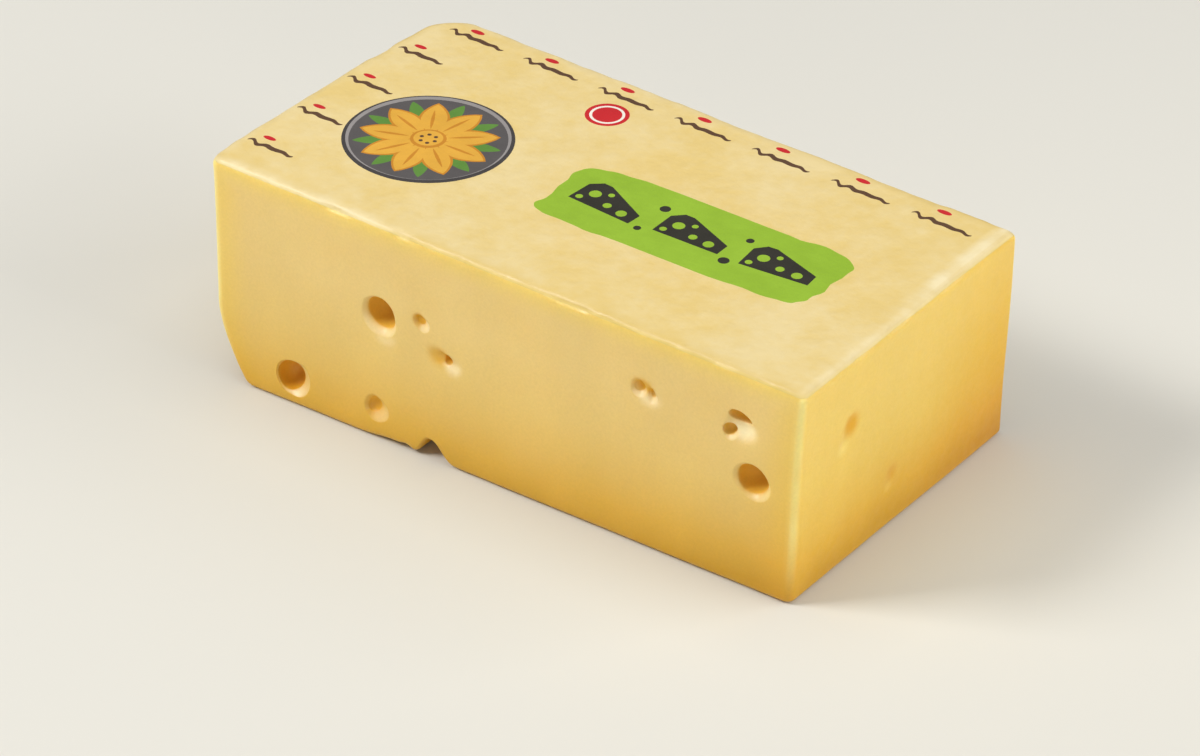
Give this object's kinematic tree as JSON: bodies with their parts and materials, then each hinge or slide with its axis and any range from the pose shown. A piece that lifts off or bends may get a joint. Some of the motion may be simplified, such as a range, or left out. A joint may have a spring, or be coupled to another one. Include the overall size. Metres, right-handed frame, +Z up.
{
  "type": "block of emmental cheese",
  "caption": "Long rectangular block of pale yellow eyed cheese with soft rounded edges, open round eyes in its cut faces and a thin printed film on its top.",
  "frame": {"origin": "middle of the bounding box at the height of the base, where the block rests", "axes": "+X along the block's length from its left end to its right end, +Y from the front face to the back face, +Z up"},
  "size_m": [0.309, 0.167, 0.1053],
  "materials": {
    "cheese": "moist satin",
    "film": "thin printed film, satin"
  },
  "bodies": {
    "root": {"cheese_block": "cheese", "printed_film": "film"}
  },
  "joints": []
}
